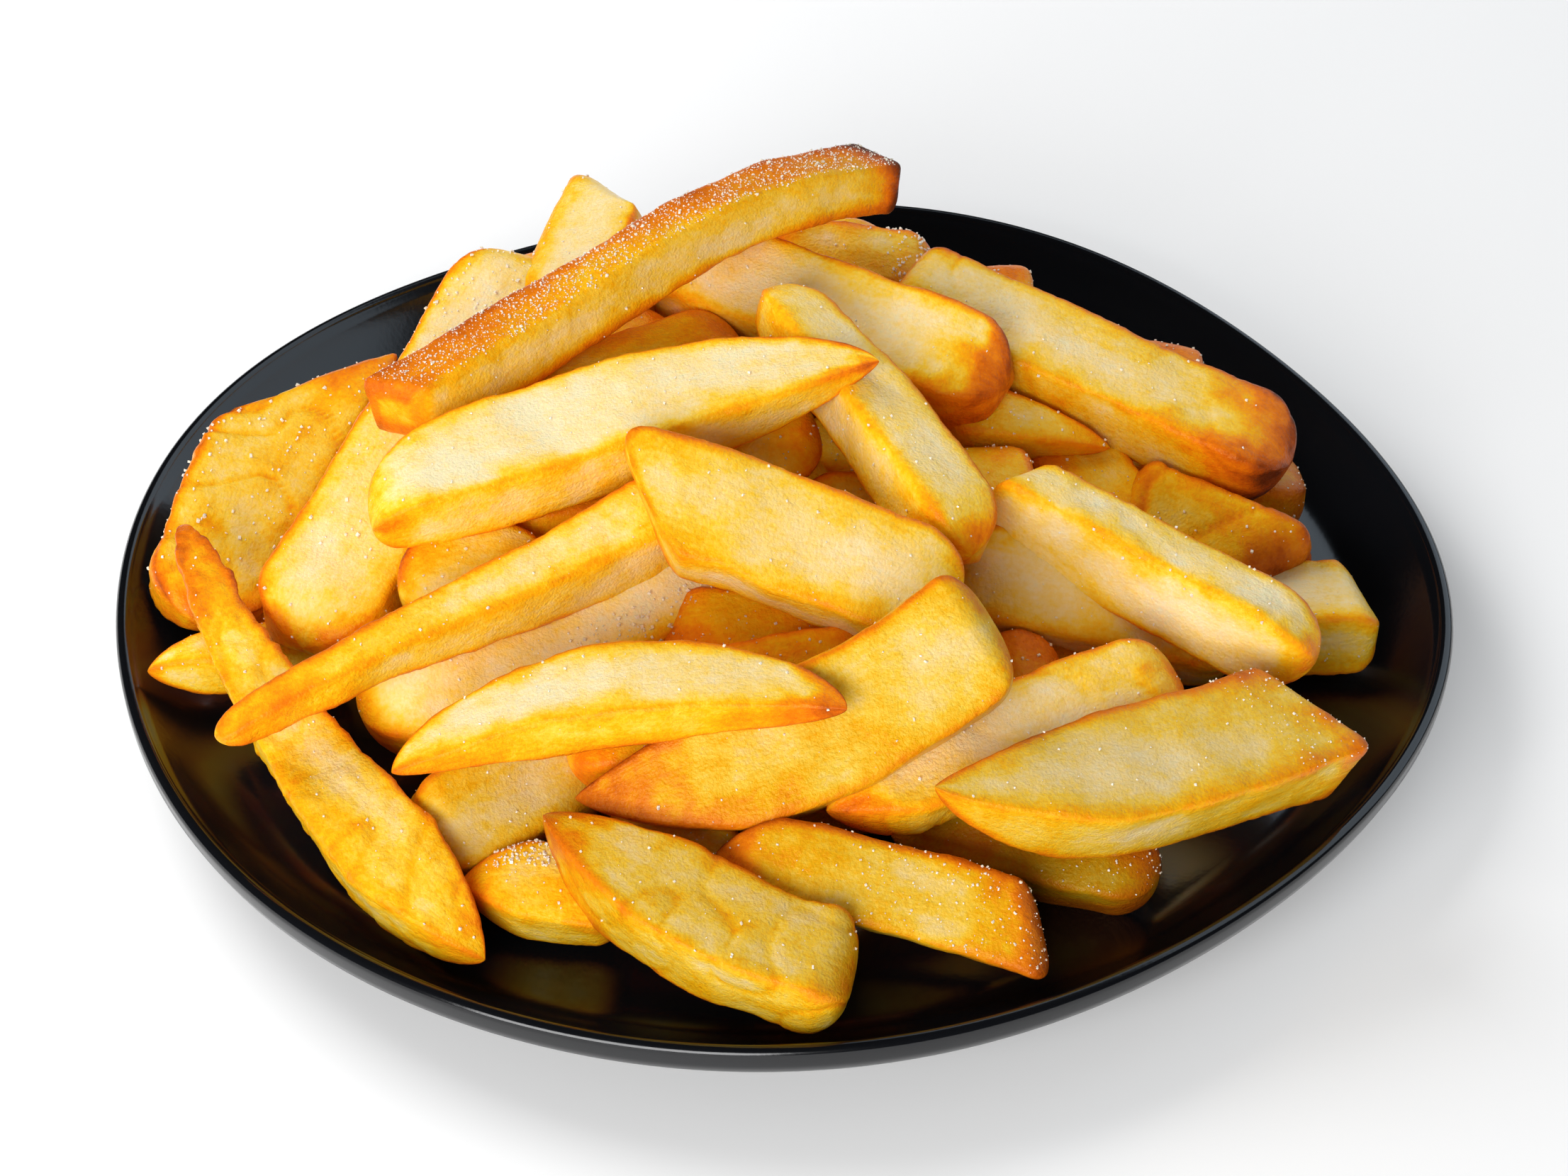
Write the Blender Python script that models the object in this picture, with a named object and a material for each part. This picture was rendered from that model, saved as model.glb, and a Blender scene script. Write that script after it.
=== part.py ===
"""A portion of thick-cut fries heaped on its plate.

Two solids: the stoneware plate, and the heap of fries, which is one body out to its uneven outline.
The origin is under the middle of the plate, on the surface it stands on. Lengths are in millimetres
until a mesh is made, which is in metres.
"""

import math

import bmesh
import bpy
from mathutils import Matrix, Vector

MM = 0.001

# Plate: a hand-shaped coupe plate, not quite round.
RIM_RADIUS = 118.1
RIM_CENTRE = (-1.0, -0.2)  # brings the middle of the outline's box onto the origin
RIM_WAVES = ((2, 1.3, 23.0), (4, 1.6, -16.0), (5, 0.9, 0.0))  # waves a turn, height, direction of a crest
RIM_STEPS = 72
RIM_HEIGHT = 18.0
LIP_WIDTH = 2.8
WALL_RUN = 17.0  # from the outer edge to the flat well
WELL_HEIGHT = 9.0
WALL_CURVE = 1.9  # power of the rise from the well to the lip
UNDERSIDE_HEIGHT = 3.2
FOOT_RADIUS = 72.0
FOOT_WIDTH = 6.0

# Fries.
GAP = 0.3  # between the heap and the plate
STATIONS = 7  # cross-sections along a fry
CORNER = 0.26  # how far a fry's corners are cut back, as a share of each side
SWELL = 1.6  # added to each fry's width and thickness, so that fries that touch become one body
PLAIN_END = ("round", 0, 0)

# Mound that closes the middle of the heap, under the fries that show.
MOUND_MIDDLE = (0.0, -6.0)
MOUND_RADII = (84.0, 66.0)
MOUND_TOP = 44.0
MOUND_POWER = 2.3
MOUND_RINGS = 6
MOUND_STEPS = 24

# How an end narrows: power in width, reach in thickness as a share of its own reach and of the
# thickness, power in thickness.
END_SHAPES = {
    "blunt": (2.6, 0.0, 0.40, 2.0),
    "round": (2.0, 0.0, 0.85, 2.0),
    "point": (1.3, 0.75, 0.0, 1.5),
    "lens": (1.75, 0.85, 0.0, 1.6),
}
END_REACH = {"blunt": 0.3, "round": 0.5, "point": 1.5, "lens": 1.5}  # in widths, where none is given
SLANT_REACH = 0.4  # share of the length over which a slanted cut fades


def start_empty():
    for thing in list(bpy.data.objects):
        bpy.data.objects.remove(thing, do_unlink=True)


def finish(name, colour, roughness):
    """One plain material."""
    material = bpy.data.materials.new(name)
    material.use_nodes = True
    shader = material.node_tree.nodes["Principled BSDF"]
    shader.inputs["Base Color"].default_value = (*colour, 1.0)
    shader.inputs["Roughness"].default_value = roughness
    shader.inputs["Metallic"].default_value = 0.0
    return material


def add_object(name, bm, material=None):
    """Turns a bmesh in millimetres into an object in metres."""
    bmesh.ops.scale(bm, vec=(MM, MM, MM), verts=bm.verts)
    bmesh.ops.recalc_face_normals(bm, faces=bm.faces)
    mesh = bpy.data.meshes.new(name)
    bm.to_mesh(mesh)
    bm.free()
    thing = bpy.data.objects.new(name, mesh)
    bpy.context.scene.collection.objects.link(thing)
    if material:
        mesh.materials.append(material)
    return thing


def cutter(thing):
    thing.hide_render = True
    thing.display_type = "WIRE"


# ---------------------------------------------------------------- plate


def rim_radius(angle):
    """Outer radius of the plate at an angle, in millimetres."""
    waves = (height * math.cos(count * (angle - math.radians(at))) for count, height, at in RIM_WAVES)
    return RIM_RADIUS + sum(waves)


def ring(bm, inset, height, steps=RIM_STEPS):
    """A closed ring of vertices, inset from the outer edge. The waves die out towards the middle."""
    verts = []
    for step in range(steps):
        angle = math.tau * step / steps
        share = (1 - inset / RIM_RADIUS) ** 2
        radius = RIM_RADIUS - inset + (rim_radius(angle) - RIM_RADIUS) * share
        x = RIM_CENTRE[0] + radius * math.cos(angle)
        y = RIM_CENTRE[1] + radius * math.sin(angle)
        verts.append(bm.verts.new((x, y, height)))
    return verts


def bridge(bm, rings):
    for lower, upper in zip(rings, rings[1:]):
        count = len(lower)
        for step in range(count):
            after = (step + 1) % count
            bm.faces.new((lower[step], lower[after], upper[after], upper[step]))


def inner_profile(lift=0.0):
    """Insets and heights from the flat well up the wall to the lip."""
    rows = [(RIM_RADIUS * 0.45, WELL_HEIGHT + lift)]
    for step in range(6):
        share = step / 5
        inset = WALL_RUN - (WALL_RUN - LIP_WIDTH) * share
        rows.append((inset, WELL_HEIGHT + (RIM_HEIGHT - 1.0 - WELL_HEIGHT) * share**WALL_CURVE + lift))
    return rows


def outer_profile():
    """Insets and heights from the lip down the outside to the underside and the foot ring."""
    lip = [(LIP_WIDTH - 0.7, RIM_HEIGHT - 0.2), (1.3, RIM_HEIGHT), (0.4, RIM_HEIGHT - 0.5), (0.0, 16.5)]
    under = [(0.1, 14.8), (0.9, 12.8), (2.6, 10.8), (5.5, 8.8), (11.0, 6.8), (20.0, 5.0), (34.0, 3.8)]
    foot_outer = RIM_RADIUS - FOOT_RADIUS
    foot_inner = foot_outer + FOOT_WIDTH
    foot = [
        (foot_outer - 1.2, UNDERSIDE_HEIGHT),
        (foot_outer, 0.4),
        (foot_outer + 0.6, 0.0),
        (foot_inner - 0.6, 0.0),
        (foot_inner, 0.4),
        (foot_inner + 1.2, UNDERSIDE_HEIGHT),
    ]
    return lip + under + foot


def make_plate():
    bm = bmesh.new()
    rings = [ring(bm, inset, height) for inset, height in inner_profile() + outer_profile()]
    bridge(bm, rings)
    bm.faces.new(rings[0])
    bm.faces.new(rings[-1])
    plate = add_object("plate", bm, finish("black_glaze", (0.012, 0.012, 0.014), 0.22))
    plate.data.shade_smooth()
    plate.data.set_sharp_from_angle(angle=math.radians(35))
    return plate


def make_plate_room():
    """The space that the plate and the gap over it take up, as a cutter for the heap."""
    bm = bmesh.new()
    profile = inner_profile(GAP)
    rows = profile + [(-GAP, RIM_HEIGHT + GAP), (-GAP, -5.0)]
    rings = [ring(bm, inset, height) for inset, height in rows]
    bridge(bm, rings)
    bm.faces.new(rings[0])
    bm.faces.new(rings[-1])
    room = add_object("plate_room", bm)
    cutter(room)
    return room


# ---------------------------------------------------------------- fries


def taper(distance, reach, power):
    """1 beyond the reach of an end, falling to 0 at the end itself."""
    share = min(max(distance / reach, 0.0), 1.0)
    return (1 - (1 - share) ** power) ** (1 / power)


def end_reaches(end, width, thickness):
    """How far an end's narrowing reaches, in width and in thickness."""
    kind, reach, _ = end
    own_reach = reach or END_REACH[kind] * width
    _, share, of_thickness, _ = END_SHAPES[kind]
    return own_reach, share * own_reach + of_thickness * thickness


def corner_points(base, lean):
    """Unit cross-section: a four-sided shape with its corners cut off, as (across, up) pairs."""
    corners = [Vector((1, 1)), Vector((-1, 1)), Vector((lean - base, -1)), Vector((lean + base, -1))]
    points = []
    for index, corner in enumerate(corners):
        before = corners[index - 1]
        after = corners[(index + 1) % 4]
        points.append(corner.lerp(before, CORNER / 2))
        points.append(corner.lerp(after, CORNER / 2))
    return points


def fry(bm, start, end, width, thickness, roll=0, side=0, arch=0, sway=0, ends=(PLAIN_END, PLAIN_END),
        hold=(0, 0), base=1.0, lean=0.0, flare=(1, 1)):
    """A bar from start to end. side and arch bow it, sway bends it into an S, and hold says which
    side its ends narrow towards. base and lean make the underside narrower and shift it. flare
    scales the section from the start to the end."""
    width += SWELL
    thickness += SWELL
    start = Vector(start)
    along = Vector(end) - start
    length = along.length
    heading = along.normalized()
    across = Vector((0, 0, 1)).cross(heading).normalized()
    turn = Matrix.Rotation(-math.radians(roll), 3, heading)
    across = turn @ across
    up = heading.cross(across)
    shape = corner_points(base, lean)
    rings = []
    for step in range(STATIONS):
        share = 0.5 - 0.5 * math.cos(math.pi * (step + 0.35) / (STATIONS - 0.3))
        bow = 4 * share * (1 - share)
        middle = start + along * share + across * side * bow + up * arch * bow
        middle += up * sway * math.sin(math.tau * share)
        wide = thick = flare[0] + (flare[1] - flare[0]) * share
        shift = 0.0
        for (kind, reach, slant), distance in zip(ends, (share * length, (1 - share) * length)):
            width_reach, thick_reach = end_reaches((kind, reach, slant), width, thickness)
            wide *= taper(distance, width_reach, END_SHAPES[kind][0])
            thick *= taper(distance, thick_reach, END_SHAPES[kind][3])
            shift += math.tan(math.radians(slant)) * max(0.0, 1 - distance / length / SLANT_REACH)
        row = []
        for x, z in shape:
            sideways = width / 2 * (x * wide + hold[0] * (1 - wide))
            upwards = thickness / 2 * (z * thick + hold[1] * (1 - thick))
            forwards = shift * width / 2 * x * wide
            row.append(bm.verts.new(middle + across * sideways + up * upwards + heading * forwards))
        rings.append(row)
    bridge(bm, rings)
    bm.faces.new(rings[0])
    bm.faces.new(rings[-1])


def fries_on_the_plate(bm):
    """The lowest layer, resting on the well."""
    fry(bm, (-53, -81, 18), (-26, -85, 17), 15, 12, roll=-15, ends=(("point", 12, 0), ("blunt", 0, 0)), base=0.7)
    fry(bm, (18, -62, 17), (62, -77, 16), 15, 13, roll=-30)
    fry(bm, (-111, -28, 18), (-77, -19, 17), 9, 8, ends=(("point", 14, 0), PLAIN_END))
    fry(bm, (-59, -73, 20), (-29, -53, 24), 18, 14, roll=-30)
    fry(bm, (75, -14, 18), (104, -13, 18), 17, 14, ends=(PLAIN_END, ("blunt", 0, -15)))
    fry(bm, (78, 19, 20), (96, 21, 20), 15, 13)
    fry(bm, (-103, -14, 16), (-88, 42, 27), 24, 11, roll=-12, side=2, ends=(PLAIN_END, ("blunt", 6, -57)))
    fry(bm, (-62, 76, 17), (8, 86, 16), 16, 13, roll=10)
    fry(bm, (20, 36, 16), (84, 25, 16), 16, 13)
    fry(bm, (40, 58, 15), (76, 46, 15), 16, 13)
    fry(bm, (-92, 22, 15), (-66, 56, 15), 14, 12)
    fry(bm, (-80, 4, 16), (-30, 58, 16), 16, 13)
    fry(bm, (-88, -4, 16), (-38, -34, 16), 16, 13)
    fry(bm, (69, 42, 22), (75, 58, 24), 14, 10)
    fry(bm, (-30, -69, 18), (-5, -81, 18), 13, 12, roll=-20)


def fries_round_the_edge(bm):
    """Fries that lean on the lowest layer, with one end near the plate."""
    point = ("point", 26, 0)
    long_point = ("point", 30, 0)
    blunt = ("blunt", 0, 0)
    fry(bm, (-106, -6, 33), (-48, -96, 16), 18, 14, roll=-8, side=-6, arch=2,
        ends=(("round", 12, 0), ("point", 24, 0)), base=0.8, flare=(0.3, 1.18))
    fry(bm, (-39, -77, 30), (11, -105, 19.5), 19, 15, roll=-3, side=-5, ends=(point, blunt), base=0.7)
    fry(bm, (-11, -82, 26), (42, -93, 18), 15, 12, roll=-35, side=1,
        ends=(("point", 10, 0), ("blunt", 0, -30)), base=0.8)
    fry(bm, (23, -82, 35), (88, -55, 28), 21, 14, roll=-10, side=-3, ends=(long_point, ("blunt", 0, -20)),
        hold=(0, 1), base=0.7, flare=(1, 1.15))
    fry(bm, (7, -76, 30), (66, -46, 33), 16, 10, roll=-20, ends=(("point", 14, 0), PLAIN_END))
    fry(bm, (28, -20, 34), (81, -24, 22), 18, 12, roll=-30)
    fry(bm, (60, 8, 24), (88, -9, 22), 19, 18, roll=-25, ends=(blunt, ("blunt", 5, 28)))
    fry(bm, (49, 24, 27), (64, -4, 25), 16, 12)
    fry(bm, (41, 54, 28), (40, 73, 30), 10, 9)
    fry(bm, (10, 74, 29), (62, 36, 29), 16, 13)
    fry(bm, (-64, 52, 30), (-38, 72, 31), 16, 13)
    fry(bm, (-24, 76, 30), (22, 84, 28), 15, 12)
    fry(bm, (-50, 42, 30), (16, 56, 30), 17, 14)
    fry(bm, (-62, -14, 29), (-14, 26, 29), 17, 12)


def fries_in_the_middle(bm):
    """The third layer, which leans inwards over the mound."""
    lens = ("lens", 34, 0)
    fry(bm, (-72, -45, 23), (-8, -17, 34), 20, 14, roll=-30)
    fry(bm, (-63, -67, 34), (11, -66, 47), 15.5, 9, roll=-5, side=3, arch=4, ends=(lens, lens), hold=(-1, 1))
    fry(bm, (-93, -65, 36), (-13, -14, 46), 12, 13, roll=-10, sway=1.5,
        ends=(("round", 5, 0), PLAIN_END), flare=(0.38, 1.12))
    fry(bm, (-34, -73, 30), (34, -55, 53), 22, 12, roll=-42, side=-6,
        ends=(("point", 30, 0), ("blunt", 0, 10)))
    fry(bm, (-83, -31, 26), (-50, 58, 46), 23, 12, roll=-2, side=-1,
        ends=(("round", 11, 0), ("round", 14, 0)), flare=(1.04, 0.8))
    fry(bm, (38, -10, 43), (90, -42, 32.5), 11, 15.5, roll=4, ends=(("blunt", 6, 20), ("round", 10, 0)))
    fry(bm, (29, 21, 38), (59, 15, 34), 12, 9, roll=-20, ends=(PLAIN_END, ("point", 26, 0)))
    fry(bm, (-3, 59, 44), (29, 64, 38), 14, 10, roll=-20)
    fry(bm, (-46, 46, 41), (-12, 64, 41), 14, 11)
    fry(bm, (-52, 12, 44), (-8, 36, 47), 15, 13)


def fries_on_top(bm):
    """The fries that crown the heap."""
    blunt = ("blunt", 0, 0)
    fry(bm, (-25, -23, 54), (29, -40, 42), 21, 11, roll=-25, side=1, ends=(("blunt", 0, -38), PLAIN_END),
        hold=(0, 1))
    fry(bm, (-72, -19, 47), (13, 14, 57), 22, 12.5, roll=-5, ends=(("round", 22, 0), ("lens", 44, 0)),
        hold=(-1, 1), base=0.85)
    fry(bm, (-68, 3, 51), (18, 65, 59), 11.5, 12, roll=5, arch=6, sway=-2,
        ends=(("blunt", 0, -30), ("blunt", 0, -18)), flare=(1, 0.9))
    fry(bm, (-3, 31, 57), (32, -29, 45), 14, 13, roll=10, side=2,
        ends=(("round", 12, 0), ("round", 12, 0)), flare=(0.82, 1.08))
    fry(bm, (-24, 57, 46), (40, 18, 45), 19, 15, roll=-20)
    fry(bm, (21, 47, 46), (91, 10, 34), 18.5, 13, roll=-9, ends=(blunt, ("round", 9, 0)))
    fry(bm, (-31, 74, 47), (-40, 38, 45), 19, 12, roll=-20, ends=(("blunt", 0, 45), PLAIN_END))


def mound_height(share):
    """Height of the mound at a share of its radii from its middle."""
    foot = WELL_HEIGHT + GAP
    return foot + (MOUND_TOP - foot) * max(0.0, 1 - share**MOUND_POWER) ** (1 / MOUND_POWER)


def mound(bm):
    """The closed middle of the heap, under the outer fries."""
    rows = []
    for row in range(1, MOUND_RINGS + 1):
        share = math.sin(math.pi / 2 * row / MOUND_RINGS)
        verts = []
        for step in range(MOUND_STEPS):
            angle = math.tau * step / MOUND_STEPS
            x = MOUND_MIDDLE[0] + MOUND_RADII[0] * share * math.cos(angle)
            y = MOUND_MIDDLE[1] + MOUND_RADII[1] * share * math.sin(angle)
            height = mound_height(share) if row < MOUND_RINGS else WELL_HEIGHT - 2
            verts.append(bm.verts.new((x, y, height)))
        rows.append(verts)
    bridge(bm, rows)
    bm.faces.new(rows[0])
    bm.faces.new(rows[-1])


def evaluated(thing):
    """A copy of the object's mesh with its modifiers applied."""
    graph = bpy.context.evaluated_depsgraph_get()
    return bpy.data.meshes.new_from_object(thing.evaluated_get(graph))


def drop_inner_shells(bm):
    """Keeps the largest shell, so that no gap between fries is left as a sealed hollow."""
    shells = []
    seen = set()
    for seed in bm.verts:
        if seed in seen:
            continue
        shell = {seed}
        todo = [seed]
        while todo:
            for edge in todo.pop().link_edges:
                for vert in edge.verts:
                    if vert not in shell:
                        shell.add(vert)
                        todo.append(vert)
        seen |= shell
        shells.append(shell)
    largest = max(shells, key=len)
    spare = [vert for shell in shells if shell is not largest for vert in shell]
    bmesh.ops.delete(bm, geom=spare, context="VERTS")


def make_heap(room):
    bars = bmesh.new()
    fries_on_the_plate(bars)
    fries_round_the_edge(bars)
    fries_in_the_middle(bars)
    fries_on_top(bars)
    guide = add_object("fry_bars", bars)
    cutter(guide)
    bm = bmesh.new()
    mound(bm)
    blank = add_object("heap_blank", bm)
    cutter(blank)
    joined = blank.modifiers.new("join the fries", "BOOLEAN")
    joined.operation = "UNION"
    joined.object = guide
    joined.use_self = True
    cut = blank.modifiers.new("clear of the plate", "BOOLEAN")
    cut.operation = "DIFFERENCE"
    cut.object = room
    bpy.context.view_layer.update()
    bm = bmesh.new()
    bm.from_mesh(evaluated(blank))
    bmesh.ops.scale(bm, vec=(1 / MM, 1 / MM, 1 / MM), verts=bm.verts)
    bmesh.ops.remove_doubles(bm, verts=bm.verts, dist=0.02)
    bmesh.ops.triangulate(bm, faces=bm.faces)
    drop_inner_shells(bm)
    heap = add_object("fries_heap", bm, finish("fried_potato", (0.78, 0.47, 0.13), 0.45))
    heap.data.shade_smooth()
    heap.data.set_sharp_from_angle(angle=math.radians(25))
    return heap


start_empty()
make_plate()
make_heap(make_plate_room())
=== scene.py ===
import math

import bpy
import numpy as np
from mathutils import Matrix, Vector, noise


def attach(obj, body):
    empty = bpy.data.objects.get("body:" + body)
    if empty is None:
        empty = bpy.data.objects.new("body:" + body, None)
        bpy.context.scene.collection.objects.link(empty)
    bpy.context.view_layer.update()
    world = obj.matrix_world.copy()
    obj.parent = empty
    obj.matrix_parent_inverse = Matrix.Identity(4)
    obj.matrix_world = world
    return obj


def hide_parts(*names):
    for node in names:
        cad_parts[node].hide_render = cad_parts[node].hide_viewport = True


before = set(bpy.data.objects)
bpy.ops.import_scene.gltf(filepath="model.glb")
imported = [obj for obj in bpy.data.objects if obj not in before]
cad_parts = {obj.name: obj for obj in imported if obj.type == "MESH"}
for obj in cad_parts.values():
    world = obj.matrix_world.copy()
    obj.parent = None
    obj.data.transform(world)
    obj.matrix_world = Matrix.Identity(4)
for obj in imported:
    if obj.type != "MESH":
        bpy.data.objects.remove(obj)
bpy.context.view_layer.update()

# ---------------------------------------------------------------- plate
# A coupe plate of dark stoneware, pressed by hand over a mould, so that its outline is not quite
# round. It has a low wall, a soft lip and a foot ring, and a black glaze fired to a soft gloss.
RIM_RADIUS = 118.1
RIM_CENTRE = (-1.0, -0.2)
RIM_WAVES = ((2, 1.3, 23.0), (4, 1.6, -16.0), (5, 0.9, 0.0))  # waves a turn, height, direction of a crest
RIM_HEIGHT = 18.0
LIP_WIDTH = 2.8
LIP_RADIUS = 1.25
LIP_STEPS = 10
WALL_RUN = 17.0
WALL_CURVE = 1.9
WALL_STEPS = 15
WELL_HEIGHT = 9.0
WELL_RINGS = (0.985, 0.93, 0.85, 0.75, 0.63, 0.5, 0.38, 0.28, 0.2)  # insets as shares of the rim's radius
UNDERSIDE = ((0.1, 14.8), (0.9, 12.8), (2.6, 10.8), (5.5, 8.8), (11.0, 6.8), (20.0, 5.0), (34.0, 3.8))
UNDERSIDE_HEIGHT = 3.2
FOOT_RADIUS = 72.0
FOOT_WIDTH = 6.0
FOOT_CHAMFER = 0.6
PLATE_STEPS = 288
MM = 0.001
GLAZE_COLOUR = (0.0042, 0.0046, 0.0058)


def rim_radius(angle):
    """The rim's radius in one direction: a circle with a few shallow waves."""
    waves = sum(height * np.cos(count * (angle - math.radians(at))) for count, height, at in RIM_WAVES)
    return RIM_RADIUS + waves


def plate_profile():
    """Insets from the outer edge and heights, from the middle of the well over the lip to the foot."""
    rows = [(RIM_RADIUS * share, WELL_HEIGHT) for share in WELL_RINGS]
    for share in np.linspace(0, 1, WALL_STEPS):
        inset = WALL_RUN - (WALL_RUN - LIP_WIDTH) * share
        rows.append((inset, WELL_HEIGHT + (RIM_HEIGHT - 1.0 - WELL_HEIGHT) * share**WALL_CURVE))
    for turn in np.radians(np.linspace(160, -20, LIP_STEPS)):
        inset = LIP_RADIUS - LIP_RADIUS * math.cos(turn)
        rows.append((inset, RIM_HEIGHT - LIP_RADIUS + LIP_RADIUS * math.sin(turn)))
    rows += UNDERSIDE
    outer = RIM_RADIUS - FOOT_RADIUS
    inner = outer + FOOT_WIDTH
    rows += [(outer - 1.2, UNDERSIDE_HEIGHT), (outer, 0.4), (outer + FOOT_CHAMFER, 0.0)]
    rows += [(inner - FOOT_CHAMFER, 0.0), (inner, 0.4), (inner + 1.2, UNDERSIDE_HEIGHT)]
    rows += [(RIM_RADIUS * 0.8, UNDERSIDE_HEIGHT), (RIM_RADIUS * WELL_RINGS[0], UNDERSIDE_HEIGHT)]
    return rows


def new_piece(name, verts, faces, material):
    """A smooth mesh object in metres, from points in millimetres."""
    mesh = bpy.data.meshes.new(name)
    mesh.from_pydata((np.asarray(verts) * MM).tolist(), [], faces)
    mesh.materials.append(material)
    mesh.shade_smooth()
    piece = bpy.data.objects.new(name, mesh)
    bpy.context.scene.collection.objects.link(piece)
    return piece


def new_material(name):
    """A material with its node tree, its shader and a function that adds a linked node."""
    material = bpy.data.materials.new(name)
    material.use_nodes = True
    tree = material.node_tree
    shader = tree.nodes["Principled BSDF"]

    def add(kind, sockets=None, **settings):
        node = tree.nodes.new(kind)
        for key, value in settings.items():
            setattr(node, key, value)
        for key, value in (sockets or {}).items():
            if isinstance(value, bpy.types.NodeSocket):
                tree.links.new(value, node.inputs[key])
            else:
                node.inputs[key].default_value = value
        return node

    def wire(output, key):
        tree.links.new(output, shader.inputs[key])

    return material, shader, add, wire


def black_glaze():
    """Black glaze with cloudy sheen and fine pores."""
    material, shader, add, wire = new_material("black_glaze")
    place = add("ShaderNodeTexCoord").outputs["Object"]
    cloud = add("ShaderNodeTexNoise", {"Vector": place, "Scale": 38.0, "Detail": 4.0}).outputs["Fac"]
    pores = add("ShaderNodeTexNoise", {"Vector": place, "Scale": 900.0, "Detail": 2.0}).outputs["Fac"]
    sheen = add("ShaderNodeMapRange", {"Value": cloud, "From Min": 0.3, "From Max": 0.7, "To Min": 0.13,
                                       "To Max": 0.19}).outputs["Result"]
    bump = add("ShaderNodeBump", {"Height": pores, "Strength": 0.12, "Distance": 0.0001}).outputs["Normal"]
    shader.inputs["Base Color"].default_value = (*GLAZE_COLOUR, 1.0)
    shader.inputs["Specular IOR Level"].default_value = 0.55
    wire(sheen, "Roughness")
    wire(bump, "Normal")
    return material


def make_plate():
    angles = np.linspace(0, math.tau, PLATE_STEPS, endpoint=False)
    verts = []
    for inset, height in plate_profile():
        share = (1 - inset / RIM_RADIUS) ** 2
        radius = RIM_RADIUS - inset + (rim_radius(angles) - RIM_RADIUS) * share
        x = RIM_CENTRE[0] + radius * np.cos(angles)
        y = RIM_CENTRE[1] + radius * np.sin(angles)
        verts += list(zip(x, y, np.full(PLATE_STEPS, height)))
    rows = len(plate_profile())
    faces = []
    for row in range(rows - 1):
        for step in range(PLATE_STEPS):
            after = (step + 1) % PLATE_STEPS
            low, high = row * PLATE_STEPS, (row + 1) * PLATE_STEPS
            faces.append((low + step, high + step, high + after, low + after))
    faces.append(tuple(range(PLATE_STEPS)))
    faces.append(tuple(range(rows * PLATE_STEPS - 1, (rows - 1) * PLATE_STEPS - 1, -1)))
    return new_piece("glazed_plate", verts, faces, black_glaze())


plate = make_plate()
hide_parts("plate")
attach(plate, "root")

# ---------------------------------------------------------------- hidden fries and the core
# Thick-cut potato sticks, fried until their edges and tips brown. They were tipped onto the plate,
# so the ones inside lie as they fell, over a close mass of fries that nobody sees.
GRAIN = 0.8  # spacing of the mesh
INSIDE_GRAIN = 1.4
PUFF = 0.12  # how far each face swells
WANDER = (17.0, 21.0)  # lengths over which a corner drifts, sideways and up
NOTCH = (5.0, 6.0)
NOTCH_DEPTH = 0.35  # of the drift
LUMP_SIZE = 9.0
BLISTER_SIZE = 3.1
SPECK_SIZE = 1.5
FOLD_SIZE = 13.0
CRISP_WIDTH = 1.6
CLOUD_SIZE = 6.5
STREAK_LENGTH = 3.6  # how much longer than wide the cloudy patches are
SLANT_REACH = 0.4  # share of the length that a slanted cut shears
# How an end narrows: power in width, reach in thickness as a share of its own reach and of the
# thickness, power in thickness.
END_SHAPES = {
    "cut": (3.2, 0.0, 0.22, 3.0),
    "blunt": (2.6, 0.0, 0.40, 2.0),
    "round": (2.0, 0.0, 0.85, 2.0),
    "point": (1.3, 0.75, 0.0, 1.5),
    "lens": (1.75, 0.85, 0.0, 1.6),
}
END_REACH = {"cut": 0.2, "blunt": 0.3, "round": 0.5, "point": 1.5, "lens": 1.5}  # in widths
POTATO_TONES = (  # from raw-pale flesh to scorched crust
    (0.00, (0.880, 0.760, 0.460)),
    (0.15, (0.950, 0.730, 0.350)),
    (0.30, (0.960, 0.670, 0.190)),
    (0.42, (0.970, 0.610, 0.050)),
    (0.52, (0.960, 0.490, 0.007)),
    (0.62, (0.940, 0.350, 0.004)),
    (0.72, (0.880, 0.230, 0.004)),
    (0.82, (0.680, 0.135, 0.004)),
    (0.91, (0.380, 0.062, 0.004)),
    (1.00, (0.120, 0.020, 0.004)),
)
DARK = 0.72  # few spots brown past this tone
GOLDEN = 0.52  # the tone that a face browns to beside its edges
END_TONE = 0.42  # the tone of a blunt end's flat
FIBRE_LENGTH = 4.5  # how much longer than wide the fine fibres in the crust are
fries = {}


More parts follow.
